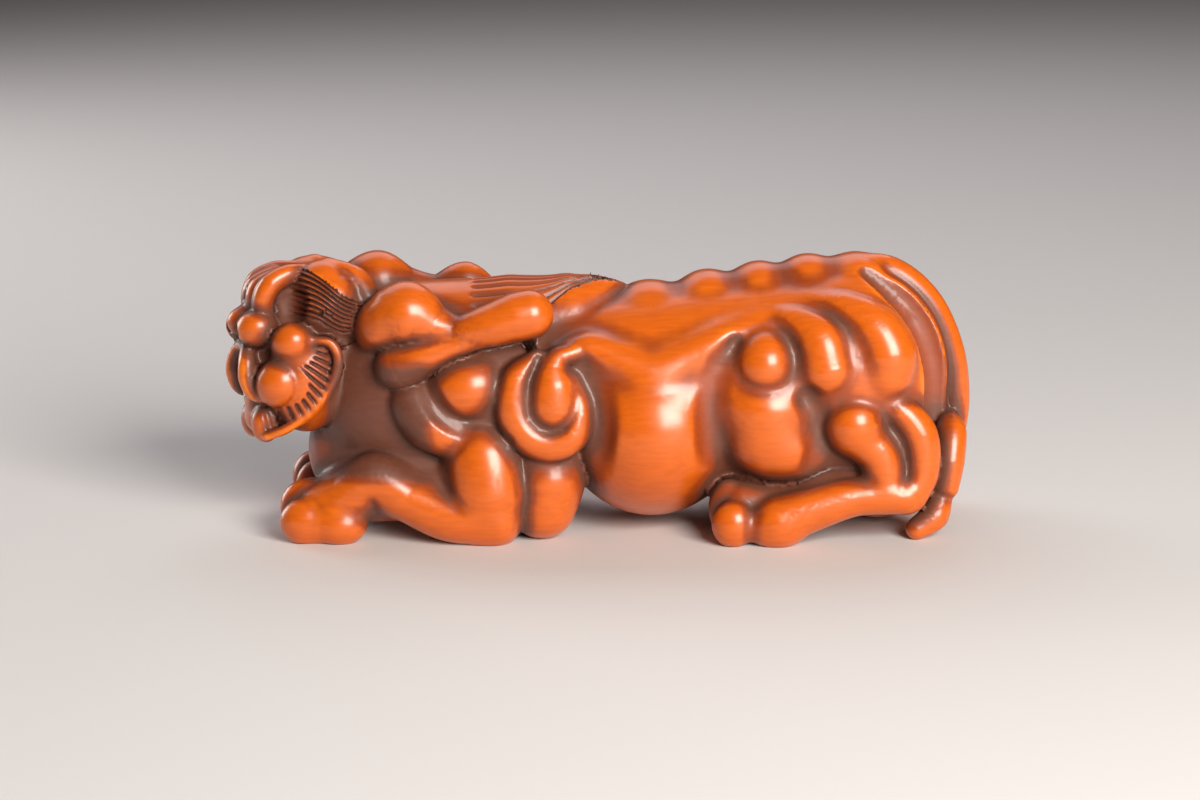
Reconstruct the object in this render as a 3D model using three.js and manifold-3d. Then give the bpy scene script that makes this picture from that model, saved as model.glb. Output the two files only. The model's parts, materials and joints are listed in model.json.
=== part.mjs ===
// A pixiu, the winged lion of Chinese tradition, lying down with its head turned a little to its left.
// It is one solid, carved from one block of boxwood and rubbed smooth by hands.
// The carving is written as a field: a function of a point that is negative inside the wood.
// Every place and radius in it is a share of the carving's length, in hundredths.
// Frame: millimetres, +Z up, snout towards -X, the figure's left side towards -Y.
// The origin is under the middle of the carving, on the surface that it stands on.
import * as THREE from 'three';
import { SimplifyModifier } from 'three/addons/modifiers/SimplifyModifier.js';
import { mergeVertices } from 'three/addons/utils/BufferGeometryUtils.js';
import Module from 'manifold-3d';

const LENGTH = 110; // snout to tail
const FLAT = 0.5; // how much wood is taken off the underside to make it sit
const FORWARD = 0.28; // how far the field's origin lies ahead of the carving's middle
const CELL = 0.4; // spacing of the net that finds the surface, a share of the length like the shapes
const ROOM_LOW = [-54, -24, -3]; // the corners of the room that the net searches, in the same shares
const ROOM_HIGH = [54, 24, 42];
const VERTICES = 4820; // what the surface keeps after it is simplified

const SHARE = LENGTH / 100;
const CURVE_STEPS = 4; // straight pieces between two points of a strand

const length3 = (x, y, z) => Math.sqrt(x * x + y * y + z * z);
const step = (from, to, v) => THREE.MathUtils.smoothstep(v, from, to);

// Smooth minimum of two distances, rounded over a width of k.
function blend(a, b, k) {
  const h = Math.max(k - Math.abs(a - b), 0) / k;
  return Math.min(a, b) - h * h * k * 0.25;
}

// An ellipsoid. turn is the angle in degrees about the side axis, positive with its front end up.
function lobe([cx, cy, cz], [rx, ry, rz], turn = 0) {
  const cos = Math.cos(THREE.MathUtils.degToRad(turn));
  const sin = Math.sin(THREE.MathUtils.degToRad(turn));
  const reach = Math.max(rx, ry, rz);
  return (x, y, z, limit) => {
    const dx = x - cx;
    const dy = y - cy;
    const dz = z - cz;
    const far = length3(dx, dy, dz) - reach;
    if (far > limit) return far;
    const u = cos * dx - sin * dz;
    const w = sin * dx + cos * dz;
    const k0 = length3(u / rx, dy / ry, w / rz);
    const k1 = length3(u / (rx * rx), dy / (ry * ry), w / (rz * rz));
    return k1 > 0 ? (k0 * (k0 - 1)) / k1 : -Math.min(rx, ry, rz);
  };
}

// A round strand that follows a smooth curve through points, with a radius at each of them.
function strand(points, radii) {
  const curve = new THREE.CatmullRomCurve3(points.map((p) => new THREE.Vector3(...p)));
  const spans = points.length - 1;
  const line = [];
  for (let i = 0; i <= spans * CURVE_STEPS; i++) {
    const at = i / CURVE_STEPS;
    const from = Math.min(Math.floor(at), spans - 1);
    line.push({ p: curve.getPoint(at / spans), r: THREE.MathUtils.lerp(radii[from], radii[from + 1], at - from) });
  }
  const pieces = line.slice(1).map((end, i) => {
    const along = end.p.clone().sub(line[i].p);
    return { at: line[i].p, along, over: 1 / along.lengthSq(), r: line[i].r, dr: end.r - line[i].r };
  });
  const centre = new THREE.Vector3();
  line.forEach(({ p }) => centre.addScaledVector(p, 1 / line.length));
  const reach = Math.max(...line.map(({ p, r }) => centre.distanceTo(p) + r));
  return (x, y, z, limit) => {
    const far = length3(x - centre.x, y - centre.y, z - centre.z) - reach;
    if (far > limit) return far;
    let best = Infinity;
    for (const { at, along, over, r, dr } of pieces) {
      const dx = x - at.x;
      const dy = y - at.y;
      const dz = z - at.z;
      const t = Math.min(Math.max((dx * along.x + dy * along.y + dz * along.z) * over, 0), 1);
      best = Math.min(best, length3(dx - t * along.x, dy - t * along.y, dz - t * along.z) - r - t * dr);
    }
    return best;
  };
}

// Adds shapes to a distance, or cuts them from it, one after another: each entry is [softness of its seam, shape].
function add(d, shapes, x, y, z) {
  let total = d;
  for (const [soft, shape] of shapes) total = blend(total, shape(x, y, z, total + soft), soft);
  return total;
}
function cut(d, shapes, x, y, z) {
  let total = d;
  for (const [soft, shape] of shapes) total = -blend(-total, shape(x, y, z, soft - total), soft);
  return total;
}

// Places on the body are [along, out from the middle plane, up], the same on both sides.
const TRUNK = [
  [1, strand([[-26, 0, 19], [-12, 0, 19.5], [6, 0, 20.4], [20, 0, 21.4], [33, 0, 21.8]], [10, 11, 12.1, 12.8, 13.6])],
  [3, lobe([34.5, 0, 20], [11.8, 12.2, 15.8])],
  [2.5, lobe([7, 0, 14.8], [12.8, 16.2, 13.2])],
  [3, lobe([27, 0, 12.5], [15, 11, 10.5])],
  [3, lobe([38, 0, 12], [8.6, 11.2, 11])],
  [2, lobe([29.5, 5, 20.5], [11.5, 6.6, 12])],
  [3, strand([[-20, 0, 21.5], [-29, 0, 22.5], [-34, -1, 23]], [10.6, 9, 7.5])],
  [3, lobe([-24, 0, 12.5], [12.5, 10.6, 11.5])],
  [2, lobe([-28.5, 4, 17.2], [8.5, 6.2, 7.6])],
  [2, lobe([-32.6, 0, 10.5], [7.2, 6.5, 8.5])],
  [2, lobe([-13.5, 4, 18.5], [12.5, 7.4, 11.5])],
  [1.5, lobe([-12, 4, 9], [9.5, 8.6, 9])],
];
const SPINE_KNOBS = [[6.5, 33.5], [14.5, 35.1], [21.5, 36.3], [28, 37.3], [34.6, 37.4]];
const SPINE = SPINE_KNOBS.map(([x, top]) => [2.4, lobe([x, 0, top - 2.4], [3.2, 3.8, 2.4])]);
// The crest above the flank, from the whorl on the shoulder to the haunch.
const CREST = [
  [2.5, strand([[-5, 10, 25.6], [-1.6, 9.8, 26.4], [2.4, 10.4, 25], [6.8, 11, 23.6], [11, 10.6, 25], [16, 9.8, 27.4],
    [21, 8.4, 29]], [1, 1.7, 1.9, 2, 1.9, 1.8, 1])],
];
const FLANK_HOLLOWS = [
  [1.4, strand([[-2.2, 12.6, 24.4], [-0.9, 14, 22.4], [-0.6, 15, 17], [-1.6, 14.8, 11], [-3.2, 14.2, 5]],
    [0.9, 1.9, 2.4, 2.6, 2.4])],
  [1.2, strand([[17.8, 12, 27.4], [16, 13.8, 24.8], [15, 14.8, 19], [15.6, 14.8, 13], [17.8, 14.4, 8]],
    [0.9, 1.9, 2.2, 2.4, 2.1])],
];
const MANE = [
  [0.6, strand([[-24, 0, 25], [-12, 0, 26], [-4.5, 0, 28], [-0.5, 0, 30.8], [2.6, 0, 32.6]], [8.6, 8.4, 6.6, 3.6, 1])],
];

const SHOULDER = [
  [1.2, lobe([-13.6, 6.4, 18.8], [12.4, 6, 8.2])],
  [0.8, lobe([-17.7, 9.4, 21.2], [5.6, 5.1, 4.7], -12)],
  [0.7, strand([[-25, 9, 21.4], [-24.7, 10.2, 19], [-22.4, 10.9, 16.4], [-19, 11, 14.4]], [2, 3.2, 3.6, 3])],
  [0.7, lobe([-7.6, 9, 19], [6.2, 5.4, 6.6])],
  [0.6, strand([[-8.4, 11.4, 25.2], [-11, 12, 22.6], [-11.5, 12.4, 18.6], [-9.8, 12.6, 15.4], [-6.6, 12.6, 14],
    [-3.8, 12.4, 15.4], [-3, 12, 18.6], [-4, 11.4, 22]], [1.4, 2.1, 2.4, 2.5, 2.5, 2.4, 2, 1.4])],
];
const SHOULDER_VALLEYS = [
  [0.9, strand([[-23.4, 12.6, 23], [-22.3, 13.8, 20.8], [-20.8, 14.2, 18.4], [-18.4, 14.4, 16.6], [-15.2, 14.6, 16.2],
    [-12.6, 14.6, 14.6]], [1, 1.2, 1.2, 1.1, 1, 0.8])],
  [0.7, strand([[-7.9, 12.8, 25.6], [-8.9, 14.2, 22], [-8.7, 14.9, 18.8], [-7, 15.1, 17], [-5, 15, 16.8]],
    [0.6, 0.9, 1, 1, 0.6])],
];
const WHORL = [
  [0.5, strand([[-6.3, 11.4, 19.2], [-6.3, 11.6, 21.4], [-6.4, 11.6, 23.4], [-5.6, 11.2, 25.2], [-3.4, 10.6, 26]],
    [3.8, 3.3, 2.3, 1.6, 1.2])],
];
const WHORL_HOLLOW = [[0.6, strand([[-3.4, 13, 24.4], [-1.4, 13.2, 22.6]], [0.9, 1.2])]];
const ARM_GROOVE = [
  [0.6, strand([[-12.8, 14.8, 14.6], [-11.4, 15, 13], [-10.3, 15.2, 9.4], [-10.2, 15.2, 5], [-11.2, 15, 1.5]],
    [0.6, 0.8, 0.8, 0.7, 0.5])],
];
const FORELEG = [
  [0.6, strand([[-16.4, 9.6, 13.6], [-15.5, 10.4, 11.4], [-15, 10.8, 7.5], [-14.8, 10.8, 4]], [4.2, 5.3, 5.7, 4.7])],
  [0.6, strand([[-7.6, 8.4, 12.6], [-7.2, 8.8, 8.4], [-7.8, 9.2, 5]], [4.6, 5.3, 4.7])],
  [0.9, strand([[-14, 12.4, 3.8], [-20, 12.4, 4.2], [-25.5, 12, 6.5], [-30, 11.4, 8.9], [-33.6, 11, 6.4], [-37, 10.4, 4.6]],
    [3.6, 3.5, 3.2, 3.5, 3.3, 3.2])],
  [2, strand([[-22, 7.6, 7], [-30, 7.6, 6.8], [-36, 7, 4.8]], [5, 4.6, 3.6])],
];
const HAUNCH = [
  [1.5, lobe([24.8, 7, 17.8], [9, 5.6, 10.2])],
  [1.4, lobe([23.2, 9.4, 13.8], [6.8, 5.4, 5.3], 18)],
  [1.3, lobe([21.8, 10, 18.4], [5.8, 5.1, 4.2], 4)],
  [0.7, lobe([21.8, 9.6, 24.4], [4.4, 5.1, 4.7])],
  [0.9, strand([[22.6, 6.8, 29.6], [26, 8.4, 29.2], [29, 9.8, 27], [29.9, 10.2, 24]], [1.2, 2.4, 3.6, 4.2])],
  [0.9, strand([[27.4, 5.2, 31.4], [32.2, 7.4, 30.8], [36.2, 8.8, 28.6], [37.9, 9.4, 25.6], [37.8, 9.6, 23.2]],
    [1, 2.4, 3.6, 4.1, 3.9])],
];
const HAUNCH_VALLEYS = [
  [1.4, strand([[27.4, 13.8, 20.4], [28.8, 14.2, 18], [29.2, 14.4, 14.6], [28.6, 14.4, 11]], [1.2, 1.5, 1.7, 1.7])],
];
const HIND_LEG = [
  [0.6, lobe([33.6, 10.8, 16.6], [4.3, 4.8, 4.3])],
  [0.8, strand([[33.4, 11.6, 15.6], [36.8, 11.8, 12.6], [38, 11.8, 8]], [3.2, 3, 3])],
  [0.8, lobe([39.4, 10, 12.5], [3.6, 2.6, 6])],
  [0.6, strand([[34.8, 10.4, 19.2], [39.2, 11, 18.4], [42.2, 11.2, 15], [42.6, 11.4, 10], [41.2, 12, 6.9]],
    [1.4, 2.2, 2.6, 2.5, 2.4])],
  [0.9, strand([[40, 12.6, 6.9], [34, 12.8, 6.9], [28.5, 13, 5.4], [24, 13, 3.8]], [2.4, 2.6, 3, 3.4])],
  [0.6, strand([[35.5, 10, 8.6], [30, 10.4, 7.2], [24, 10.4, 5], [19, 10.2, 5.2]], [2, 2.7, 3, 3.2])],
];
const KNEE_GROOVE = [
  [0.6, strand([[37, 14.4, 18], [38.9, 14.8, 17.2], [40, 15, 14.8], [40.3, 15.2, 11.6], [39.9, 15.6, 8.4]],
    [0.6, 1, 1.2, 1.1, 0.6])],
];
// A paw: its toes from the outer one inwards and the pad behind the outer toe.
const PAWS = [
  [0.7, lobe([-39.2, 11.9, 3.2], [3.5, 2.6, 3.2])],
  [0.5, lobe([-39.6, 8.4, 4.2], [3.4, 2.4, 3.9])],
  [0.35, lobe([-39, 5, 3.9], [3.2, 2.1, 3.6])],
  [1.2, lobe([-34.8, 12, 2.9], [3.8, 2.9, 2.9])],
  [0.7, lobe([17.7, 13.5, 3.3], [2.9, 2.6, 3.2])],
  [0.35, lobe([17.3, 10.4, 4.7], [2.8, 2.1, 4])],
  [0.35, lobe([18, 7.4, 4.3], [2.8, 2, 3.7])],
  [1.2, lobe([23.2, 13.3, 3], [4, 2.8, 3])],
];
const TAIL_CHANNEL = [
  [0.4, strand([[35.8, 5, 36], [39.6, 6.2, 33.6], [43, 6.8, 29.6], [45.2, 7.2, 24], [45.8, 7.4, 18.5],
    [45.2, 7.4, 12]], [1.2, 2.5, 3.2, 3.4, 3.4, 3])],
];
const TAIL = [
  [0.5, strand([[30, 0, 34.6], [38.4, 0, 35], [43.8, 0, 31.2], [47.2, 0, 24.4], [48.3, 0, 17.5], [47.8, 0, 12]],
    [1.8, 2.2, 2.1, 2.1, 2, 2])],
];
const TAIL_LOCKS = [
  [0.4, strand([[47, 2.6, 15], [47.2, 6, 14], [46.8, 7.8, 10.4], [46.4, 8.4, 7.2]], [1.6, 2.1, 2.1, 1.8])],
  [0.4, strand([[45.8, 8.2, 5.8], [44.8, 9.4, 3.4], [42.4, 10.4, 1.8]], [1.6, 2, 1.5])],
];

// The horns lie back along the neck. The far one lies lower and further forward, as the head is turned.
const HORN = [
  [1, lobe([-30, 8.2, 28.4], [3.6, 3.4, 3.6])],
  [0.6, strand([[-28.6, 9, 29.6], [-25.6, 9.6, 31], [-22.4, 10.2, 29.6], [-19, 10.8, 28.7], [-14.5, 11.6, 29.8],
    [-11, 11.4, 30.9], [-9.4, 11.2, 31.2]], [3.6, 4.4, 3, 2.2, 2.8, 3.3, 3.3])],
  [0.4, strand([[-26.4, 10, 24.2], [-23.6, 11, 25.6], [-20, 11.6, 27], [-16, 12, 28]], [3.4, 2.7, 1.9, 1.2])],
];
const FAR_HORN = [
  [0.6, strand([[-33, 7.2, 31.4], [-30.6, 7.6, 32], [-27.4, 8.4, 31], [-22.5, 9, 30.4], [-18.6, 9, 31.8], [-15, 9, 30]],
    [3.8, 4.4, 3.2, 2.3, 2.8, 1.8])],
  [0.4, strand([[-31, 10, 24.6], [-28, 10.8, 26], [-24.6, 10.6, 28]], [3.2, 2.6, 1.6])],
];

// The head has a frame of its own, turned to the left: [forward, out from its middle plane, up].
const HEAD_AT = [-38, -1];
const HEAD_TURN = THREE.MathUtils.degToRad(20);
const HEAD_TILT = 0.1; // how much the head's left side stands higher than its middle, for each step out
const HEAD = [
  [2, lobe([-1, 0, 26], [8, 7.6, 9])],
  [2, lobe([2, 0, 20.5], [6.5, 6.6, 6.8])],
  [2, lobe([4.8, 0, 26.8], [4.4, 4.2, 4])],
  [1.2, lobe([3.8, 0, 32], [4.2, 3.6, 3.2])],
  [0.5, strand([[0.5, 3.7, 33], [-0.3, 4.5, 31], [-2.8, 5.3, 29.3]], [4, 4.7, 3.6])],
  [0.5, strand([[-0.6, 3.4, 35.6], [-3.6, 5, 34], [-5, 6.6, 31], [-5.2, 7.6, 27.6]], [1.6, 2, 2, 1.8])],
];
const EYE_HOLLOW = [[0.6, lobe([5.4, 5.6, 31.8], [1.5, 2.8, 3.3])]];
const FACE = [
  [1, lobe([6.4, 0, 22.5], [4.4, 3.8, 5.5])],
  [0.8, lobe([7, 0, 19.4], [3.6, 4.2, 4])],
  [0.8, strand([[8.6, 1, 30], [8, 1.2, 33], [5.6, 1.2, 34]], [1.6, 2, 2.2])],
  [0.5, strand([[8.2, 2.8, 29.6], [8.4, 3.4, 31.8], [7.4, 3.7, 34], [5, 3.4, 35.2], [2.8, 3, 35.4]],
    [1.4, 1.6, 1.8, 1.6, 1.2])],
  [0.5, strand([[8, 0, 30.8], [10.6, 0, 29]], [1.7, 1.9])],
  [0.3, lobe([9.3, 3, 28.2], [2.7, 2.6, 2.5])],
  [0.3, lobe([5.3, 6.2, 26.3], [2.85, 2.8, 2.75])],
  [1, lobe([2.9, 4.6, 20.9], [5.7, 4.4, 7.1])],
  [0.3, lobe([6.8, 5.5, 20.8], [3.4, 3.4, 3.4])],
  [0.4, strand([[10.2, 0, 25.6], [10.4, 1.8, 25.4], [10.8, 3.2, 23.8], [10.9, 3.6, 21.8], [10.2, 3.9, 19.8],
    [8.9, 4.6, 19], [8.2, 5.2, 19.8]], [0.9, 0.9, 1.1, 1.2, 1.1, 0.9, 0.7])],
  [0.8, lobe([7.4, 0, 15.9], [3, 4, 2.9])],
  [0.4, lobe([8.4, 3, 15.2], [1.9, 1.9, 2.7])],
];
const FRINGE_RIM = [
  [0.7, strand([[3.2, 7.6, 26.6], [0.8, 8.6, 26.2], [-0.2, 9, 24.4], [0.1, 8.9, 21.8], [1.6, 8.3, 19], [3.8, 7.4, 16.6],
    [6.4, 6.2, 14.6], [8.6, 4.8, 13.6]], [0.6, 0.65, 0.7, 0.7, 0.7, 0.7, 0.7, 0.6])],
];
const MOUTH = [[0.5, lobe([11.2, 0, 20.6], [2.2, 2.2, 2.1])]];
const NOSTRILS = [[0.4, lobe([12, 2.3, 28], [0.9, 0.8, 0.8])]];

// Hair: rounded strands, parted where the count is whole.
const crease = (count) => 0.5 + 0.5 * Math.cos(2 * Math.PI * count);
const inside = (from, to, fade, v) => step(from - fade, from + fade, v) * (1 - step(to - fade, to + fade, v));
const TEMPLE_STRANDS = 4;
const MANE_STRANDS = 4;
const FRINGE_TEETH = 8;
const HAIR_DEPTH = 0.6;

function templeHair(forward, out, z) {
  const low = 28.6 + 1.4 * Math.tanh((forward - 1.1) / 1.9);
  const high = 33.8 + 2.8 * Math.tanh((forward - 0.5) / 2.8);
  const count = (TEMPLE_STRANDS * (z - low)) / (high - low);
  return crease(count) * inside(0, TEMPLE_STRANDS, 0.3, count) * inside(-4.1, 4.6, 0.5, forward) * step(3, 4, out);
}

function fringe(forward, out, z) {
  const angle = Math.atan2(1.2 - 0.45 * (z - 22.6), 6.6 - forward) / Math.PI;
  const away = length3(22.6 - z, 6.6 - forward, 0);
  const count = (FRINGE_TEETH * (angle + 0.05)) / 0.61;
  return crease(count) * inside(0, FRINGE_TEETH, 0.3, count) * inside(3.4, 7.4, 0.4, away) * step(4, 5.4, out)
    * step(-0.4, 0.6, forward);
}

function mane(x, side, z) {
  const half = 7.6 - 7.2 * step(-12, 3.4, x);
  const count = (MANE_STRANDS * side) / half;
  return crease(count) * inside(-MANE_STRANDS, MANE_STRANDS, 0.3, count) * inside(-17, 2.6, 0.8, x) * step(29, 30, z);
}

function pixiu(x, y, z) {
  const side = Math.abs(y);
  let d = add(1e3, TRUNK, x, side, z);
  d = add(add(d, CREST, x, side, z), SPINE, x, side, z);
  d = add(d, MANE, x, side, z);
  d += 0.35 * mane(x, side, z);
  d = cut(d, TAIL_CHANNEL, x, side, z);
  d = cut(d, FLANK_HOLLOWS, x, side, z);
  d = cut(add(d, SHOULDER, x, side, z), SHOULDER_VALLEYS, x, side, z);
  d = add(add(d, WHORL, x, side, z), FORELEG, x, side, z);
  d = cut(cut(d, WHORL_HOLLOW, x, side, z), ARM_GROOVE, x, side, z);
  d = cut(add(d, HAUNCH, x, side, z), HAUNCH_VALLEYS, x, side, z);
  d = cut(add(d, HIND_LEG, x, side, z), KNEE_GROOVE, x, side, z);
  for (const shapes of [PAWS, TAIL, TAIL_LOCKS]) d = add(d, shapes, x, side, z);
  d = add(d, y > 0 ? FAR_HORN : HORN, x, side, z);
  const hx = x - HEAD_AT[0];
  const hy = y - HEAD_AT[1];
  const forward = -Math.cos(HEAD_TURN) * hx - Math.sin(HEAD_TURN) * hy;
  const left = Math.sin(HEAD_TURN) * hx - Math.cos(HEAD_TURN) * hy;
  const out = Math.abs(left);
  const up = z - HEAD_TILT * left;
  let head = add(1e3, HEAD, forward, out, up);
  head = cut(head, EYE_HOLLOW, forward, out, up);
  head += HAIR_DEPTH * templeHair(forward, out, up);
  head = add(head, FACE, forward, out, up);
  head += HAIR_DEPTH * fringe(forward, out, up);
  head = add(head, FRINGE_RIM, forward, out, up);
  head = cut(head, MOUTH, forward, out, up);
  head = cut(head, NOSTRILS, forward, out, up);
  return blend(d, head, 0.6);
}

// The field on a grid. Where a block's middle is further from the surface than its corners, it is filled with
// the middle's value.
function sampled(field, [x0, y0, z0], [nx, ny, nz], cell) {
  const values = new Float32Array(nx * ny * nz);
  const block = 5;
  const half = (block - 1) / 2;
  const clear = 1.3 * Math.sqrt(3) * (half + 1) * cell;
  for (let bk = 0; bk < nz; bk += block)
    for (let bj = 0; bj < ny; bj += block)
      for (let bi = 0; bi < nx; bi += block) {
        const middle = field(x0 + (bi + half) * cell, y0 + (bj + half) * cell, z0 + (bk + half) * cell);
        const skipped = Math.abs(middle) > clear;
        for (let k = bk; k < Math.min(bk + block, nz); k++)
          for (let j = bj; j < Math.min(bj + block, ny); j++)
            for (let i = bi; i < Math.min(bi + block, nx); i++)
              values[i + nx * (j + ny * k)] = skipped ? middle : field(x0 + i * cell, y0 + j * cell, z0 + k * cell);
      }
  return values;
}

// Air that nothing joins to the air outside becomes wood. Nodes are joined along the tetrahedra's edges.
function fillPockets(values, corners) {
  const steps = [...corners.slice(1), ...corners.slice(1).map((offset) => -offset)];
  const reached = new Uint8Array(values.length);
  const waiting = [0];
  reached[0] = 1;
  while (waiting.length) {
    const n = waiting.pop();
    for (const offset of steps) {
      const next = n + offset;
      if (next < 0 || next >= values.length || reached[next] || values[next] < 0) continue;
      reached[next] = 1;
      waiting.push(next);
    }
  }
  values.forEach((value, n) => {
    if (value >= 0 && !reached[n]) values[n] = -value - 1e-3;
  });
}

// The surface where the field is zero. Each cell of the grid is parted into six tetrahedra round its diagonal,
// which gives a closed surface without doubtful cases.
const TETRAHEDRA = [[1, 3], [3, 2], [2, 6], [6, 4], [4, 5], [5, 1]].map(([a, b]) => [0, a, b, 7]);

function surfaceOf(field, low, high, cell) {
  const [nx, ny, nz] = low.map((from, axis) => Math.ceil((high[axis] - from) / cell) + 1);
  const values = sampled(field, low, [nx, ny, nz], cell);
  const corners = [0, 1, nx, nx + 1, nx * ny, nx * ny + 1, nx * ny + nx, nx * ny + nx + 1];
  fillPockets(values, corners);
  const place = (n) => [n % nx, Math.floor(n / nx) % ny, Math.floor(n / (nx * ny))];
  const vertices = new Map();
  const positions = [];
  const index = [];
  const crossing = (p, q) => {
    const [a, b] = p < q ? [p, q] : [q, p];
    const key = a * 8 + corners.indexOf(b - a);
    if (!vertices.has(key)) {
      const t = THREE.MathUtils.clamp(values[a] / (values[a] - values[b]), 0.02, 0.98);
      const [from, to] = [place(a), place(b)];
      vertices.set(key, positions.length / 3);
      positions.push(...low.map((start, axis) => start + cell * THREE.MathUtils.lerp(from[axis], to[axis], t)));
    }
    return vertices.get(key);
  };
  const around = [0, 0, 0, 0, 0, 0, 0, 0];
  for (let k = 0; k < nz - 1; k++)
    for (let j = 0; j < ny - 1; j++)
      for (let i = 0; i < nx - 1; i++) {
        const here = i + nx * (j + ny * k);
        for (let c = 0; c < 8; c++) around[c] = here + corners[c];
        const wood = around.filter((n) => values[n] < 0).length;
        if (wood === 0 || wood === 8) continue;
        for (const tetrahedron of TETRAHEDRA) {
          const nodes = tetrahedron.map((c) => around[c]);
          const [ins, outs] = [nodes.filter((n) => values[n] < 0), nodes.filter((n) => values[n] >= 0)];
          if (!ins.length || !outs.length) continue;
          const ring = ins.length === 2
            ? [[0, 0], [0, 1], [1, 1], [1, 0]].map(([a, b]) => crossing(ins[a], outs[b]))
            : ins.flatMap((a) => outs.map((b) => crossing(a, b)));
          if (facesAway(positions, ring, place(ins[0]), low, cell)) ring.reverse();
          for (let v = 2; v < ring.length; v++) index.push(ring[0], ring[v - 1], ring[v]);
        }
      }
  return new THREE.BufferGeometry()
    .setAttribute('position', new THREE.Float32BufferAttribute(positions, 3))
    .setIndex(index);
}

// Whether a ring of vertices turns its face towards a node that lies in the wood.
const plane = new THREE.Plane();
const ringPoints = [new THREE.Vector3(), new THREE.Vector3(), new THREE.Vector3()];
const woodPoint = new THREE.Vector3();
function facesAway(positions, ring, node, low, cell) {
  ringPoints.forEach((point, i) => point.fromArray(positions, ring[i] * 3));
  woodPoint.set(...low.map((start, axis) => start + cell * node[axis]));
  return plane.setFromCoplanarPoints(...ringPoints).distanceToPoint(woodPoint) > 0;
}

const wasm = await Module();
wasm.setup();

function solidOf(geometry) {
  const bare = new THREE.BufferGeometry().setAttribute('position', geometry.getAttribute('position'));
  const merged = mergeVertices(bare.setIndex(geometry.getIndex()));
  return new wasm.Manifold(new wasm.Mesh({
    numProp: 3,
    vertProperties: merged.getAttribute('position').array,
    triVerts: new Uint32Array(merged.getIndex().array),
  }));
}

function geometryOf(solid) {
  const mesh = solid.getMesh();
  return new THREE.BufferGeometry()
    .setAttribute('position', new THREE.BufferAttribute(mesh.vertProperties, 3))
    .setIndex(new THREE.BufferAttribute(mesh.triVerts, 1));
}

async function carvedPixiu() {
  const fine = surfaceOf(pixiu, ROOM_LOW, ROOM_HIGH, CELL);
  const surplus = fine.getAttribute('position').count - VERTICES;
  const light = await new SimplifyModifier().modify(fine, surplus);
  light.scale(SHARE, SHARE, SHARE);
  const under = new THREE.BoxGeometry(LENGTH * 2, LENGTH * 2, LENGTH).translate(0, 0, FLAT - LENGTH / 2);
  under.deleteAttribute('normal');
  under.deleteAttribute('uv');
  return geometryOf(solidOf(light).subtract(solidOf(under)).translate([FORWARD, 0, -FLAT]));
}

const boxwood = new THREE.MeshStandardMaterial({ color: 0xc4601c, roughness: 0.35, metalness: 0 });
const body = new THREE.Mesh(await carvedPixiu(), boxwood);
body.name = 'pixiu';

const statue = new THREE.Group();
statue.add(body);
export default statue;
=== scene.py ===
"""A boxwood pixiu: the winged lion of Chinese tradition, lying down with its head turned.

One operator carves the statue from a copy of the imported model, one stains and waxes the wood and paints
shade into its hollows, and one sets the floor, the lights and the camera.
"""

import json
import math

import bpy
import numpy as np
from bpy.props import FloatProperty, FloatVectorProperty, IntProperty, PointerProperty
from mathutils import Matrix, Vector

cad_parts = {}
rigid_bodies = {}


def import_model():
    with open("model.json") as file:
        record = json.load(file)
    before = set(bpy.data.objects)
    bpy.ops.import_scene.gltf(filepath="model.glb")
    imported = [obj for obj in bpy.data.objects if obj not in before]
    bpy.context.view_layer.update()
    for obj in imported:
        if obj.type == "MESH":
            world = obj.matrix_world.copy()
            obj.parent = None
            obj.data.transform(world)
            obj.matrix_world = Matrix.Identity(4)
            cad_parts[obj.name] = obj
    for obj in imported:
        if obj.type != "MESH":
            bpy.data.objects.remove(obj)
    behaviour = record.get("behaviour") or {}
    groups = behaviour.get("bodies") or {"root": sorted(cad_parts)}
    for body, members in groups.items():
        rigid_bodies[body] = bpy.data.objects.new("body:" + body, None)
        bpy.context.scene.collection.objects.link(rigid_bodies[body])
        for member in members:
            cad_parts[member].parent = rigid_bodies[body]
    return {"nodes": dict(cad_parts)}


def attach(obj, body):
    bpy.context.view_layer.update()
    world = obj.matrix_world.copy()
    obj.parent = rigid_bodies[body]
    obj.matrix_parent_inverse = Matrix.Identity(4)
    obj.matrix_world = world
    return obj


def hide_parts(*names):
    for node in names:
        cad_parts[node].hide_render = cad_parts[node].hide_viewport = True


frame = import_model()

bl_info = {
    "name": "Boxwood Pixiu",
    "version": (1, 0, 0),
    "blender": (4, 5, 0),
    "location": "3D View > Sidebar > Pixiu",
    "description": "Carves and stains a small boxwood pixiu on a plain stage",
    "category": "Object",
}

NODE = "pixiu"
BODY = "root"
SHARE = 0.0011  # metres in one share of the carving's length, the unit of every place below
FORWARD = 0.00028  # how far the field's origin lies ahead of the carving's middle, in metres
SUNK = 0.0005  # wood taken off the underside, in metres
CURVE_STEPS = 8  # straight pieces between two points of a strand
CAMERA_AT = (FORWARD, -0.4378, 0.1194)
CAMERA_PITCH = 13  # degrees that the camera looks down


# The carving as a field: a function of points that is negative inside the wood.


def length(v):
    return np.sqrt(np.einsum("ij,ij->i", v, v))


def step(low, high, v):
    t = np.clip((v - low) / (high - low), 0, 1)
    return t * t * (3 - 2 * t)


def blend(a, b, soft):
    """Smooth minimum of two distances, rounded over a width of soft."""
    h = np.maximum(soft - np.abs(a - b), 0) / soft
    return np.minimum(a, b) - h * h * soft * 0.25


def near(p, limit, centre, reach, exact):
    """Distances to a shape that lies within reach of centre, exact only where they can count."""
    value = length(p - centre) - reach
    close = np.flatnonzero(value <= limit)
    if close.size:
        value[close] = exact(p[close])
    return value


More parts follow.
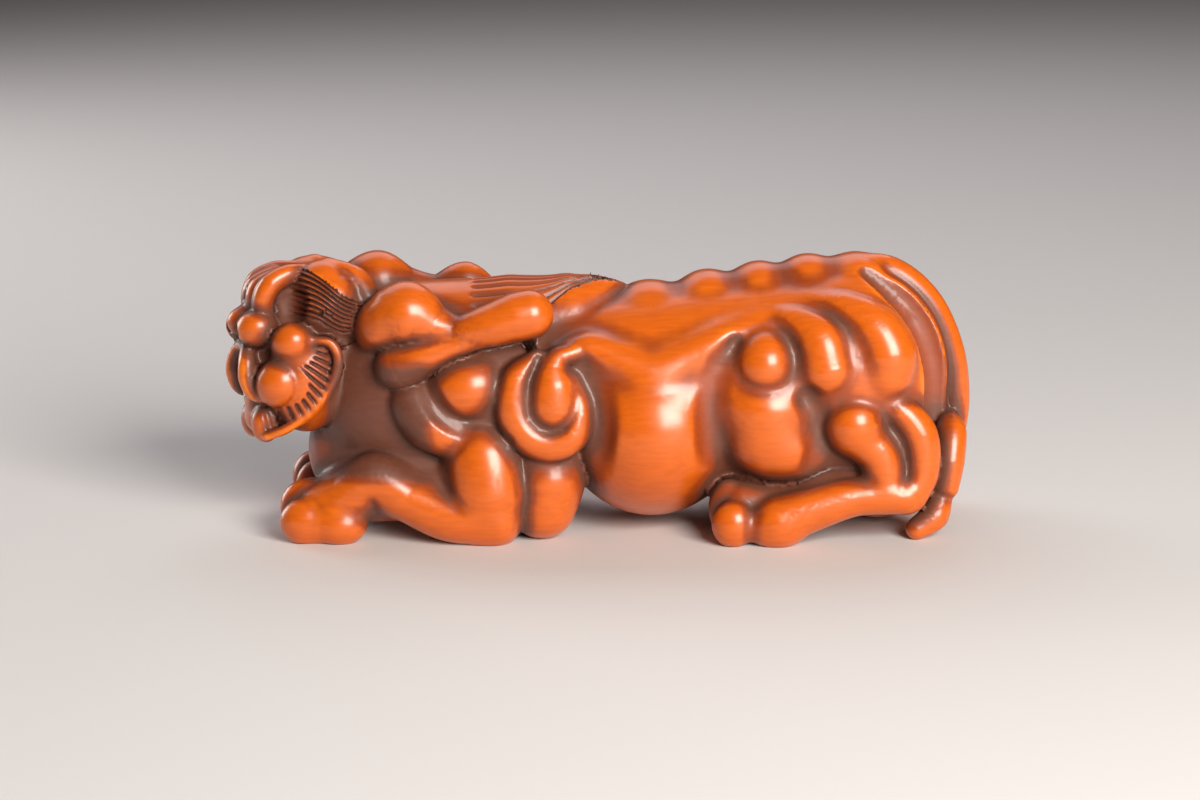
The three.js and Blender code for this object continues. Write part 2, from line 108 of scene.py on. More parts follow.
def lobe(centre, radii, turn=0):
    """An ellipsoid. turn is the angle in degrees about the side axis, positive with its front end up."""
    cos = math.cos(math.radians(turn))
    sin = math.sin(math.radians(turn))
    centre = np.array(centre, np.float32)
    radii = np.array(radii, np.float32)
    axes = np.array([[cos, 0, sin], [0, 1, 0], [-sin, 0, cos]], np.float32)

    def exact(p):
        u = (p - centre) @ axes / radii
        k0 = length(u)
        k1 = np.maximum(length(u / radii), 1e-6)
        return k0 * (k0 - 1) / k1

    return lambda p, limit: near(p, limit, centre, radii.max(), exact)


def smooth_line(points, radii):
    """The points and radii along a centripetal curve through points."""
    pts = [np.array(q, float) for q in points]
    pts = [2 * pts[0] - pts[1], *pts, 2 * pts[-1] - pts[-2]]
    line = []
    for i in range(1, len(pts) - 2):
        p0, p1, p2, p3 = pts[i - 1 : i + 3]
        gaps = [max(np.linalg.norm(b - a) ** 0.5, 1e-4) for a, b in ((p0, p1), (p1, p2), (p2, p3))]
        m1 = gaps[1] * ((p1 - p0) / gaps[0] - (p2 - p0) / (gaps[0] + gaps[1])) + (p2 - p1)
        m2 = gaps[1] * ((p3 - p2) / gaps[2] - (p3 - p1) / (gaps[1] + gaps[2])) + (p2 - p1)
        last = i == len(pts) - 3
        for k in range(CURVE_STEPS + (1 if last else 0)):
            t = k / CURVE_STEPS
            place = (
                (2 * t**3 - 3 * t**2 + 1) * p1 + (t**3 - 2 * t**2 + t) * m1
                + (3 * t**2 - 2 * t**3) * p2 + (t**3 - t**2) * m2
            )
            line.append((place, radii[i - 1] + t * (radii[i] - radii[i - 1])))
    return np.array([q for q, _ in line], np.float32), np.array([r for _, r in line], np.float32)


def strand(points, radii):
    """A round strand that follows a smooth curve through points, with a radius at each of them."""
    line, width = smooth_line(points, radii)
    along = np.diff(line, axis=0)
    wider = np.diff(width)
    over = 1 / np.einsum("ij,ij->i", along, along)
    centre = line.mean(axis=0)
    reach = float((np.linalg.norm(line - centre, axis=1) + width).max())

    def exact(p):
        best = np.full(len(p), 1e9, np.float32)
        for start, way, inv, r, dr in zip(line[:-1], along, over, width[:-1], wider):
            q = p - start
            t = np.clip(q @ way * inv, 0, 1)
            np.minimum(best, length(q - t[:, None] * way) - r - t * dr, out=best)
        return best

    return lambda p, limit: near(p, limit, centre, reach, exact)


def add(d, shapes, p):
    """Adds shapes to a distance one after another: each entry is (softness of its seam, shape)."""
    for soft, shape in shapes:
        d = blend(d, shape(p, d + soft), soft)
    return d


def cut(d, shapes, p):
    for soft, shape in shapes:
        d = -blend(-d, shape(p, soft - d), soft)
    return d


# Places on the body are [along, out from the middle plane, up], the same on both sides.
TRUNK = [
    (1, strand([[-26, 0, 19], [-12, 0, 19.5], [6, 0, 20.4], [20, 0, 21.4], [33, 0, 21.8]],
        [10, 11, 12.1, 12.8, 13.6])),
    (3, lobe([34.5, 0, 20], [11.8, 12.2, 15.8])),
    (2.5, lobe([7, 0, 14.8], [12.8, 16.2, 13.2])),
    (3, lobe([27, 0, 12.5], [15, 11, 10.5])),
    (3, lobe([38, 0, 12], [8.6, 11.2, 11])),
    (2, lobe([29.5, 5, 20.5], [11.5, 6.6, 12])),
    (3, strand([[-20, 0, 21.5], [-29, 0, 22.5], [-34, -1, 23]], [10.6, 9, 7.5])),
    (3, lobe([-24, 0, 12.5], [12.5, 10.6, 11.5])),
    (2, lobe([-28.5, 4, 17.2], [8.5, 6.2, 7.6])),
    (2, lobe([-32.6, 0, 10.5], [7.2, 6.5, 8.5])),
    (2, lobe([-13.5, 4, 18.5], [12.5, 7.4, 11.5])),
    (1.5, lobe([-12, 4, 9], [9.5, 8.6, 9])),
]
SPINE_KNOBS = [[6.5, 33.5], [14.5, 35.1], [21.5, 36.3], [28, 37.3], [34.6, 37.4]]
SPINE = [(2.4, lobe([x, 0, top - 2.4], [3.2, 3.8, 2.4])) for x, top in SPINE_KNOBS]
# The crest above the flank, from the whorl on the shoulder to the haunch.
CREST = [
    (2.5, strand([[-5, 10, 25.6], [-1.6, 9.8, 26.4], [2.4, 10.4, 25], [6.8, 11, 23.6], [11, 10.6, 25],
        [16, 9.8, 27.4], [21, 8.4, 29]], [1, 1.7, 1.9, 2, 1.9, 1.8, 1])),
]
FLANK_HOLLOWS = [
    (1.4, strand([[-2.2, 12.6, 24.4], [-0.9, 14, 22.4], [-0.6, 15, 17], [-1.6, 14.8, 11], [-3.2, 14.2, 5]],
        [0.9, 1.9, 2.4, 2.6, 2.4])),
    (1.2, strand([[17.8, 12, 27.4], [16, 13.8, 24.8], [15, 14.8, 19], [15.6, 14.8, 13], [17.8, 14.4, 8]],
        [0.9, 1.9, 2.2, 2.4, 2.1])),
]
MANE = [
    (0.6, strand([[-24, 0, 25], [-12, 0, 26], [-4.5, 0, 28], [-0.5, 0, 30.8], [2.6, 0, 32.6]],
        [8.6, 8.4, 6.6, 3.6, 1])),
]

SHOULDER = [
    (1.2, lobe([-13.6, 6.4, 18.8], [12.4, 6, 8.2])),
    (0.8, lobe([-17.7, 9.4, 21.2], [5.6, 5.1, 4.7], -12)),
    (0.7, strand([[-25, 9, 21.4], [-24.7, 10.2, 19], [-22.4, 10.9, 16.4], [-19, 11, 14.4]],
        [2, 3.2, 3.6, 3])),
    (0.7, lobe([-7.6, 9, 19], [6.2, 5.4, 6.6])),
    (0.9, strand([[-8.4, 11.4, 25.2], [-11, 12, 22.6], [-11.5, 12.4, 18.6], [-9.8, 12.6, 15.4],
        [-6.6, 12.6, 14], [-3.8, 12.4, 15.4], [-3, 12, 18.6], [-4, 11.4, 22]],
        [1.4, 2.1, 2.4, 2.5, 2.5, 2.4, 2, 1.4])),
]
SHOULDER_VALLEYS = [
    (0.9, strand([[-23.4, 12.6, 23], [-22.3, 13.8, 20.8], [-20.8, 14.2, 18.4], [-18.4, 14.4, 16.6],
        [-15.2, 14.6, 16.2], [-12.6, 14.6, 14.6]], [1, 1.2, 1.2, 1.1, 1, 0.8])),
    (0.7, strand([[-7.9, 12.8, 25.6], [-8.9, 14.2, 22], [-8.7, 14.9, 18.8], [-7, 15.1, 17], [-5, 15, 16.8]],
        [0.6, 0.9, 1, 1, 0.6])),
]
WHORL = [
    (0.5, strand([[-6.3, 11.4, 19.2], [-6.3, 11.6, 21.4], [-6.4, 11.6, 23.4], [-5.6, 11.2, 25.2],
        [-3.4, 10.6, 26]], [3.8, 3.3, 2.3, 1.6, 1.2])),
]
WHORL_HOLLOW = [(0.6, strand([[-3.4, 13, 24.4], [-1.4, 13.2, 22.6]], [0.9, 1.2]))]
ARM_GROOVE = [
    (0.6, strand([[-12.8, 14.8, 14.6], [-11.4, 15, 13], [-10.3, 15.2, 9.4], [-10.2, 15.2, 5],
        [-11.2, 15, 1.5]], [0.6, 0.8, 0.8, 0.7, 0.5])),
]
FORELEG = [
    (0.6, strand([[-16.4, 9.6, 13.6], [-15.5, 10.4, 11.4], [-15, 10.8, 7.5], [-14.8, 10.8, 4]],
        [4.2, 5.3, 5.7, 4.7])),
    (0.6, strand([[-7.6, 8.4, 12.6], [-7.2, 8.8, 8.4], [-7.8, 9.2, 5]], [4.6, 5.3, 4.7])),
    (0.9, strand([[-14, 12.4, 3.8], [-20, 12.4, 4.2], [-25.5, 12, 6.5], [-30, 11.4, 8.9],
        [-33.6, 11, 6.4], [-37, 10.4, 4.6]], [3.6, 3.5, 3.2, 3.5, 3.3, 3.2])),
    (2, strand([[-22, 7.6, 7], [-30, 7.6, 6.8], [-36, 7, 4.8]], [5, 4.6, 3.6])),
]
HAUNCH = [
    (1.5, lobe([24.8, 7, 17.8], [9, 5.4, 10.2])),
    (1.4, lobe([23.4, 9.4, 13.8], [7.4, 5.6, 5.3], 18)),
    (2.2, lobe([21.9, 9.8, 18.4], [6, 5.3, 4.6], 4)),
    (0.6, lobe([21.8, 9.6, 24.4], [4.4, 5.2, 4.7])),
    (0.7, strand([[22.6, 7.6, 30.2], [26, 9, 29.4], [29, 10.6, 27.2], [29.9, 11, 24]], [1.2, 2.4, 3.5, 4])),
    (0.7, strand([[27.4, 6, 32], [32.2, 8.2, 31.2], [36.2, 9.6, 28.8], [37.9, 10.2, 25.6],
        [37.8, 10.2, 23.2]], [1, 2.4, 3.5, 4, 3.8])),
]
HAUNCH_VALLEYS = [
    (1.4, strand([[27.4, 13.8, 20.4], [28.8, 14.2, 18], [29.2, 14.4, 14.6], [28.6, 14.4, 11]],
        [1.2, 1.5, 1.7, 1.7])),
]
HIND_LEG = [
    (0.6, lobe([33.6, 10.8, 16.6], [4.3, 4.8, 4.3])),
    (0.8, strand([[33.4, 11.6, 15.6], [36.8, 11.8, 12.6], [38, 11.8, 8]], [3.2, 3, 3])),
    (0.8, lobe([39.4, 10, 12.5], [3.6, 2.6, 6])),
    (0.6, strand([[34.8, 10.4, 19.2], [39.2, 11, 18.4], [42.2, 11.2, 15], [42.6, 11.4, 10], [41.2, 12, 6.9]],
        [1.4, 2.2, 2.6, 2.5, 2.4])),
    (0.9, strand([[40, 12.6, 6.9], [34, 12.8, 6.9], [28.5, 13, 5.4], [24, 13, 3.8]], [2.4, 2.6, 3, 3.4])),
    (0.6, strand([[35.5, 10, 8.6], [30, 10.4, 7.2], [24, 10.4, 5], [19, 10.2, 5.2]], [2, 2.7, 3, 3.2])),
]
KNEE_GROOVE = [
    (0.6, strand([[37, 14.4, 18], [38.9, 14.8, 17.2], [40, 15, 14.8], [40.3, 15.2, 11.6], [39.9, 15.6, 8.4]],
        [0.6, 1, 1.2, 1.1, 0.6])),
]
# A paw: its toes from the outer one inwards and the pad behind the outer toe.
PAWS = [
    (0.7, lobe([-39.2, 11.9, 3.2], [3.5, 2.6, 3.2])),
    (0.5, lobe([-39.6, 8.4, 4.2], [3.4, 2.4, 3.9])),
    (0.35, lobe([-39, 5, 3.9], [3.2, 2.1, 3.6])),
    (1.2, lobe([-34.8, 12, 2.9], [3.8, 2.9, 2.9])),
    (0.7, lobe([17.7, 13.5, 3.3], [2.9, 2.6, 3.2])),
    (0.35, lobe([17.3, 10.4, 4.7], [2.8, 2.1, 4])),
    (0.35, lobe([18, 7.4, 4.3], [2.8, 2, 3.7])),
    (1.2, lobe([23.2, 13.3, 3], [4, 2.8, 3])),
]
TAIL_CHANNEL = [
    (0.4, strand([[35.8, 5, 36], [39.6, 6.2, 33.6], [43, 6.8, 29.6], [45.2, 7.2, 24], [45.8, 7.4, 18.5],
        [45.2, 7.4, 12]], [1.2, 2.5, 3.2, 3.4, 3.4, 3])),
]
TAIL = [
    (0.5, strand([[30, 0, 34.6], [38.4, 0, 35], [43.8, 0, 31.2], [47.2, 0, 24.4], [48.3, 0, 17.5],
        [47.8, 0, 12]], [1.8, 2.2, 2.1, 2.1, 2, 2])),
]
TAIL_LOCKS = [
    (0.4, strand([[47, 2.6, 15], [47.2, 6, 14], [46.8, 7.8, 10.4], [46.4, 8.4, 7.2]], [1.6, 2.1, 2.1, 1.8])),
    (0.4, strand([[45.8, 8.2, 5.8], [44.8, 9.4, 3.4], [42.4, 10.4, 1.8]], [1.6, 2, 1.5])),
]

# The horns lie back along the neck. The far one lies lower and further forward, as the head is turned.
HORN = [
    (1, lobe([-29.4, 7.4, 28.4], [3.3, 3.4, 3.4])),
    (0.6, strand([[-28.6, 9, 29.6], [-25.6, 9.6, 31], [-22.4, 10.2, 29.6], [-19, 10.8, 28.7],
        [-14.5, 11.6, 29.8], [-11, 11.4, 30.9], [-9.4, 11.2, 31.2]], [3.6, 4.4, 3, 2.2, 2.8, 3.3, 3.3])),
    (0.4, strand([[-26.4, 10, 24.2], [-23.6, 11, 25.6], [-20, 11.6, 27], [-16, 12, 28]],
        [3.4, 2.7, 1.9, 1.2])),
]
FAR_HORN = [
    (0.6, strand([[-33, 7.2, 31.4], [-30.6, 7.6, 32], [-27.4, 8.4, 31], [-22.5, 9, 30.4],
        [-18.6, 9, 31.8], [-15, 9, 30]],
        [3.8, 4.4, 3.2, 2.3, 2.8, 1.8])),
    (0.4, strand([[-31, 10, 24.6], [-28, 10.8, 26], [-24.6, 10.6, 28]], [3.2, 2.6, 1.6])),
]

# The head has a frame of its own, turned to the left: [forward, out from its middle plane, up].
HEAD_AT = [-38, -1]
HEAD_TURN = math.radians(20)
HEAD_TILT = 0.1  # how much the head's left side stands higher than its middle, for each step out
HEAD = [
    (2, lobe([-1, 0, 26], [8, 7.6, 9])),
    (2, lobe([2, 0, 20.5], [6.5, 6.6, 6.8])),
    (2, lobe([4.8, 0, 26.8], [4.4, 4.2, 4])),
    (1.2, lobe([3.8, 0, 32], [4.2, 3.6, 3.2])),
    (0.5, strand([[0.5, 3.7, 33], [-0.3, 4.5, 31], [-2.8, 5.3, 29.3]], [4, 4.7, 3.6])),
    (0.5, strand([[-0.6, 3.4, 35.6], [-3.6, 5, 34], [-5, 6.6, 31], [-5.2, 7.6, 27.6]], [1.6, 2, 2, 1.8])),
]
EYE_HOLLOW = [(0.6, lobe([5.3, 5.9, 31.6], [2, 2.8, 3.4]))]
FACE = [
    (1, lobe([6.4, 0, 22.5], [4.4, 3.8, 5.5])),
    (0.8, lobe([7, 0, 19.4], [3.6, 4.2, 4])),
    (0.8, strand([[8.6, 1, 30], [8, 1.2, 33], [5.6, 1.2, 34]], [1.6, 2, 2.2])),
    (0.5, strand([[8.2, 2.8, 29.6], [8.4, 3.4, 31.8], [7.4, 3.7, 34], [5, 3.4, 35.2], [2.8, 3, 35.4]],
        [1.3, 1.4, 1.5, 1.4, 1.1])),
    (0.5, strand([[8, 0, 30.8], [10.6, 0, 29]], [1.7, 1.9])),
    (0.3, lobe([9.3, 3, 28.2], [2.7, 2.6, 2.5])),
    (0.3, lobe([5.3, 6.2, 26.3], [2.85, 2.8, 2.75])),
    (1, lobe([2.9, 4.6, 20.9], [5.7, 4.4, 7.1])),
    (0.3, lobe([6.8, 5.5, 20.8], [3.4, 3.4, 3.4])),
    (0.4, strand([[10.2, 0, 25.6], [10.4, 1.8, 25.4], [10.8, 3.2, 23.8], [10.9, 3.6, 21.8], [10.2, 3.9, 19.8],
        [8.9, 4.6, 19], [8.2, 5.2, 19.8]], [0.9, 0.9, 1.1, 1.2, 1.1, 0.9, 0.7])),
    (0.8, lobe([7.4, 0, 15.9], [3, 4, 2.9])),
    (0.4, lobe([8.4, 3, 15.2], [1.9, 1.9, 2.7])),
]
FRINGE_RIM = [
    (0.7, strand([[3.2, 7.6, 26.6], [0.8, 8.6, 26.2], [-0.2, 9, 24.4], [0.1, 8.9, 21.8], [1.6, 8.3, 19],
        [3.8, 7.4, 16.6], [6.4, 6.2, 14.6], [8.6, 4.8, 13.6]], [0.6, 0.65, 0.7, 0.7, 0.7, 0.7, 0.7, 0.6])),
]
MOUTH = [(0.5, lobe([11.2, 0, 20.6], [2.2, 2.2, 2.1]))]
NOSTRILS = [(0.4, lobe([12, 2.3, 28], [0.9, 0.8, 0.8]))]

# Hair: rounded strands, parted where the count is whole.


def crease(count):
    return 0.5 + 0.5 * np.cos(2 * np.pi * count)


def inside(low, high, fade, v):
    return step(low - fade, low + fade, v) * (1 - step(high - fade, high + fade, v))


def temple_lines(forward, z, count):
    """Which strand of the temple's pad a point is on, counted from the lowest."""
    low = 28.6 + 1.4 * np.tanh((forward - 1.1) / 1.9)
    high = 33.8 + 2.8 * np.tanh((forward - 0.5) / 2.8)
    return count * (z - low) / (high - low)


def temple_hair(h, count):
    forward, out, z = h.T
    line = temple_lines(forward, z, count)
    place = inside(0, count, 0.3, line) * inside(-4.1, 4.6, 0.5, forward) * step(3, 4, out)
    return crease(line) ** 2 * place, place


# Places in the head's middle plane, [forward, up].
FAN_AT = [11.5, 29]
CHEEK_AT = [6.8, 20.8]
EYE_AT = [5.3, 26.3]
FAN_START = 0.08  # half turns down from level to the fringe's first tooth
FAN_SPAN = 0.36  # half turns from its first tooth to its last


def fringe_hair(h, count):
    """The fringe's teeth fan out from a point before the brow, clear of the eye and the cheek."""
    forward, out, z = h.T
    angle = np.arctan2(FAN_AT[1] - z, FAN_AT[0] - forward) / np.pi
    away = np.hypot(FAN_AT[1] - z, FAN_AT[0] - forward)
    beyond = away - 11.25 - 9.7 * angle
    line = count * (angle - FAN_START) / FAN_SPAN
    place = inside(0, count, 0.3, line) * (1 - step(-0.3, 0.5, beyond)) * step(6, 7, away)
    place = place * step(2.8, 3.3, np.hypot(forward - CHEEK_AT[0], z - CHEEK_AT[1])) * step(4, 5.4, out)
    place = place * step(2.9, 3.5, np.hypot(forward - EYE_AT[0], z - EYE_AT[1]))
    place = place * (1 - step(6, 7.2, forward) * step(16.5, 18, z))
    return crease(line) ** 2 * place, place


def mane_hair(q, count):
    x, side, z = q.T
    line = count * side / (7.6 - 7.2 * step(-12, 3.4, x))
    place = inside(-count, count, 0.3, line) * inside(-17, 2.6, 0.8, x) * step(29, 30, z)
    return crease(line) ** 2 * place, place


def mirrored(p):
    q = p.copy()
    q[:, 1] = np.abs(q[:, 1])
    return q


def in_head(p):
    """Points in the head's own frame: [forward, out from its middle plane, up]."""
    hx = p[:, 0] - HEAD_AT[0]
    hy = p[:, 1] - HEAD_AT[1]
    left = math.sin(HEAD_TURN) * hx - math.cos(HEAD_TURN) * hy
    forward = -math.cos(HEAD_TURN) * hx - math.sin(HEAD_TURN) * hy
    return np.stack([forward, np.abs(left), p[:, 2] - HEAD_TILT * left], 1)


class Hair:
    """How many strands and teeth there are, and how deep the grooves between them go."""

    temple = 8
    mane = 5
    fringe = 14
    depth = 0.5


def head_field(p):
    h = in_head(p)
    d = add(np.full(len(p), 1e3, np.float32), HEAD, h)
    d = cut(d, EYE_HOLLOW, h)
    d = d + Hair.depth * temple_hair(h, Hair.temple)[0]
    d = add(d, FACE, h)
    d = d + 0.8 * Hair.depth * fringe_hair(h, Hair.fringe)[0]
    d = add(d, FRINGE_RIM, h)
    d = cut(d, MOUTH, h)
    return cut(d, NOSTRILS, h)


def carving(p):
    """The distance from each point to the statue's surface, negative in the wood, in shares."""
    q = mirrored(p)
    d = add(np.full(len(p), 1e3, np.float32), TRUNK + CREST + SPINE, q)
    d = add(d, MANE, q)
    d = d + 0.8 * Hair.depth * mane_hair(q, Hair.mane)[0]
    d = cut(d, TAIL_CHANNEL, q)
    d = cut(d, FLANK_HOLLOWS, q)
    d = cut(add(d, SHOULDER, q), SHOULDER_VALLEYS, q)
    d = cut(add(d, WHORL + FORELEG, q), WHORL_HOLLOW + ARM_GROOVE, q)
    d = cut(add(d, HAUNCH, q), HAUNCH_VALLEYS, q)
    d = cut(add(d, HIND_LEG, q), KNEE_GROOVE, q)
    d = add(d, PAWS + TAIL + TAIL_LOCKS, q)
    for at, shapes in ((p[:, 1] <= 0, HORN), (p[:, 1] > 0, FAR_HORN)):
        d[at] = add(d[at], shapes, q[at])
    ahead = p[:, 0] < -20
    d[ahead] = blend(d[ahead], head_field(p[ahead]), 0.6)
    return np.maximum(d, SUNK / SHARE - p[:, 2])


def in_parts(work, points):
    """Runs work on the points a part at a time, which keeps its arrays small."""
    return np.concatenate([work(part) for part in np.array_split(points, len(points) // 50000 + 1)])


CORNERS = np.array([[1, -1, -1], [-1, -1, 1], [-1, 1, -1], [1, 1, 1]], np.float32)


def slope(p):
    """The field's value and its direction of growth at each point, as four columns."""
    reach = 0.04
    values = [carving(p + reach * corner) for corner in CORNERS]
    way = sum(v[:, None] * corner for v, corner in zip(values, CORNERS)) / (4 * reach)
    return np.column_stack([sum(values) / 4, way])


def on_surface(p, rounds):
    """Moves points along the field's slope until they lie on the carving."""
    for _ in range(rounds):
        found = in_parts(slope, p)
        way = found[:, 1:]
        steepness = np.maximum(np.einsum("ij,ij->i", way, way), 0.2)
        p = p - (np.clip(found[:, 0] / steepness, -0.5, 0.5))[:, None] * way
    return p.astype(np.float32)


def outward(p):
    way = in_parts(slope, p)[:, 1:]
    return way / np.maximum(length(way), 1e-6)[:, None]


# The mesh


def alone(obj):
    """Makes obj the one selected object."""
    bpy.ops.object.select_all(action="DESELECT")
    obj.select_set(True)
    bpy.context.view_layer.objects.active = obj


def copy_of(node, name):
    """A copy of a CAD node, free of the frame, with its loose triangles merged."""
    alone(frame["nodes"][node])
    bpy.ops.object.duplicate(linked=False)
    piece = bpy.context.view_layer.objects.active
    bpy.ops.object.parent_clear(type="CLEAR_KEEP_TRANSFORM")
    for key in list(piece.keys()):
        del piece[key]
    piece.name = name
    piece.data.name = name
    piece.data.materials.clear()
    bpy.ops.object.mode_set(mode="EDIT")
    bpy.ops.mesh.select_all(action="SELECT")
    bpy.ops.mesh.remove_doubles(threshold=1e-6)
    bpy.ops.mesh.normals_make_consistent(inside=False)
    bpy.ops.object.mode_set(mode="OBJECT")
    return piece


def apply_modifier(piece, kind, **values):
    modifier = piece.modifiers.new(kind.title(), kind)
    for key, value in values.items():
        setattr(modifier, key, value)
    bpy.ops.object.modifier_apply(modifier=modifier.name)


def places(mesh):
    """The mesh's vertices, in shares of the carving's length."""
    flat = np.empty(len(mesh.vertices) * 3, np.float32)
    mesh.vertices.foreach_get("co", flat)
    return (flat.reshape(-1, 3) - [FORWARD, 0, -SUNK]).astype(np.float32) / SHARE


def put_places(mesh, p):
    mesh.vertices.foreach_set("co", (p * SHARE + [FORWARD, 0, -SUNK]).astype(np.float32).ravel())
    mesh.update()


def hair_at(p):
    """How much of the fine hair each point has, from 0 to 1."""
    h = in_head(p)
    ahead = step(-25.5, -27, p[:, 0])
    temple = temple_hair(h, Hair.temple)[1] * ahead
    fringe = fringe_hair(h, Hair.fringe)[1] * ahead
    return np.maximum(np.maximum(temple, fringe), mane_hair(mirrored(p), Hair.mane)[1])


def subdivide_hair(piece, cuts):
    """Cuts the faces of the hair into finer ones, so that they can hold its grooves."""
    mesh = piece.data
    centres = np.empty(len(mesh.polygons) * 3, np.float32)
    mesh.polygons.foreach_get("center", centres)
    p = ((centres.reshape(-1, 3) - [FORWARD, 0, -SUNK]) / SHARE).astype(np.float32)
    chosen = hair_at(p) > 0.05
    mesh.vertices.foreach_set("select", np.zeros(len(mesh.vertices), bool))
    mesh.edges.foreach_set("select", np.zeros(len(mesh.edges), bool))
    mesh.polygons.foreach_set("select", chosen)
    bpy.context.tool_settings.mesh_select_mode = (False, False, True)
    bpy.ops.object.mode_set(mode="EDIT")
    bpy.ops.mesh.subdivide(number_cuts=cuts)
    bpy.ops.mesh.select_all(action="SELECT")
    bpy.ops.mesh.quads_convert_to_tris()
    bpy.ops.object.mode_set(mode="OBJECT")


def store(mesh, name, values):
    attribute = mesh.attributes.new(name, "FLOAT", "POINT")
    attribute.data.foreach_set("value", np.clip(values, 0, 1).astype(np.float32))


def store_wear_and_shade(mesh, p, normals):
    """Keeps how hollow, how proud and how hairy the surface is, for the stain, the painted shade of the
    hollows and the wax.
    """
    side = np.cross(normals, np.where(np.abs(normals[:, 2:]) < 0.7, [[0, 0, 1]], [[1, 0, 0]]))
    side /= length(side)[:, None]
    across = np.cross(normals, side)
    ways = [(normals, 1)]
    ways += [(0.6 * normals + 0.8 * s * way, 0.6) for way in (side, across) for s in (1, -1)]

    def closed(reach):
        """The share of the room above each point that the wood fills, within that reach."""
        total = 0
        for way, flat in ways:
            seen = in_parts(carving, (p + reach * way).astype(np.float32))
            total = total + 1 - np.clip(seen / (reach * flat), 0, 1)
        return total / len(ways)

    proud = 1 + in_parts(carving, (p - 1.5 * normals).astype(np.float32)) / 1.5
    # groove: how closed in each point is near by; the finish turns it into near-black groove bottoms, painted
    # shade together with stain.
    store(mesh, "groove", closed(0.5))
    # recess: how closed in each point is at three reaches, with the neck below the head added; the finish
    # turns it into darker stain and painted shade in the hollows and on the neck.
    neck = inside(-35.5, -22.5, 1.5, p[:, 0]) * inside(9.5, 25, 1.5, p[:, 2])
    store(mesh, "recess", 0.5 * closed(1.4) + 0.3 * closed(3) + 0.2 * closed(8) + 0.42 * neck)
    store(mesh, "proud", proud * 2)
    store(mesh, "hair", hair_at(p))


class PixiuCarving(bpy.types.PropertyGroup):
    """Sizes of the carving's mesh and of its hair."""

    spacing: FloatProperty(
        name="Net spacing", description="Size of the voxels that the surface is rebuilt from",
        default=0.0005, min=0.0002, max=0.002, unit="LENGTH",
    )
    triangles: IntProperty(
        name="Triangles", description="How many triangles the finished piece keeps",
        default=190000, min=20000, max=199000,
    )
    temple_strands: IntProperty(
        name="Temple strands", description="Strands of hair on each temple", default=8, min=3, max=12,
    )
    mane_strands: IntProperty(
        name="Mane strands", description="Strands of the mane on each side", default=5, min=2, max=9,
    )
    fringe_teeth: IntProperty(
        name="Fringe teeth", description="Locks of the fringe behind each cheek", default=14, min=6, max=20,
    )
    groove_depth: FloatProperty(
        name="Groove depth", description="Depth of the grooves between strands",
        default=0.00055, min=0, max=0.0012, unit="LENGTH",
    )


class PixiuWood(bpy.types.PropertyGroup):
    """The stain, the painted shade of the hollows and the wax."""

    rubbed: FloatVectorProperty(
        name="Rubbed", description="Wood on the high places, where hands have rubbed it",
        default=(0.86, 0.185, 0.004), subtype="COLOR", min=0, max=1,
    )
    stained: FloatVectorProperty(
        name="Stained", description="Wood on the open surfaces",
        default=(0.62, 0.112, 0.004), subtype="COLOR", min=0, max=1,
    )
    # Darker stain beside the hollows, which also stands for painted shade there; the fine hair is mixed
    # towards it too.
    shaded: FloatVectorProperty(
        name="Shaded", description="Wood beside the hollows, where the stain is darker",
        default=(0.30, 0.045, 0.003), subtype="COLOR", min=0, max=1,
    )
    # Dull brown in the hollows: gathered stain and dust together with painted shade.
    dust_and_shade: FloatVectorProperty(
        name="Dust and Shade", description="Dull brown wood in the hollows",
        default=(0.135, 0.038, 0.018), subtype="COLOR", min=0, max=1,
    )
    # Near-black at the bottom of the grooves: painted shade together with gathered stain.
    deep: FloatVectorProperty(
        name="Deep", description="Wood at the bottom of the grooves",
        default=(0.03, 0.009, 0.005), subtype="COLOR", min=0, max=1,
    )
    gloss: FloatProperty(
        name="Gloss", description="Polish of the waxed high places",
        default=0.7, min=0, max=1, subtype="FACTOR",
    )


class PixiuStage(bpy.types.PropertyGroup):
    """The floor and the light."""

    floor: FloatVectorProperty(
        name="Floor", description="Colour of the floor",
        default=(0.70, 0.68, 0.67), subtype="COLOR", min=0, max=1,
    )
    key_power: FloatProperty(
        name="Key light", description="Power of the soft light beside the camera",
        default=5.6, min=0, unit="POWER",
    )
    back_power: FloatProperty(
        name="Back light", description="Power of the soft light above and behind",
        default=1.5, min=0, unit="POWER",
    )
    side_power: FloatProperty(
        name="Side light", description="Power of the soft light on the far side",
        default=1.6, min=0, unit="POWER",
    )
    sky: FloatProperty(
        name="Room light", description="Strength of the even light of the room", default=0.05, min=0, max=3,
    )


class PIXIU_OT_carve(bpy.types.Operator):
    """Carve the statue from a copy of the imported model"""

    bl_idname = "pixiu.carve"
    bl_label = "Carve the Pixiu"

    def execute(self, context):
        sizes = context.scene.pixiu_carving
        Hair.temple = sizes.temple_strands
        Hair.mane = sizes.mane_strands
        Hair.fringe = sizes.fringe_teeth
        Hair.depth = sizes.groove_depth / SHARE
        piece = copy_of(NODE, "boxwood_pixiu")
        for spacing, rounds in ((2 * sizes.spacing, 5), (sizes.spacing, 2)):
            apply_modifier(piece, "REMESH", mode="VOXEL", voxel_size=spacing)
            put_places(piece.data, on_surface(places(piece.data), rounds))
        subdivide_hair(piece, 3)
        put_places(piece.data, on_surface(places(piece.data), 1))
        ratio = sizes.triangles / len(piece.data.polygons)
        if ratio < 1:
            apply_modifier(piece, "DECIMATE", ratio=ratio)
        mesh = piece.data
        p = on_surface(places(mesh), 1)
        put_places(mesh, p)
        normals = outward(p)
        store_wear_and_shade(mesh, p, normals)
        bpy.ops.object.shade_smooth()
        mesh.normals_split_custom_set_from_vertices(normals)
        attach(piece, BODY)
        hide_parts(NODE)
        return {"FINISHED"}


# The wood's finish


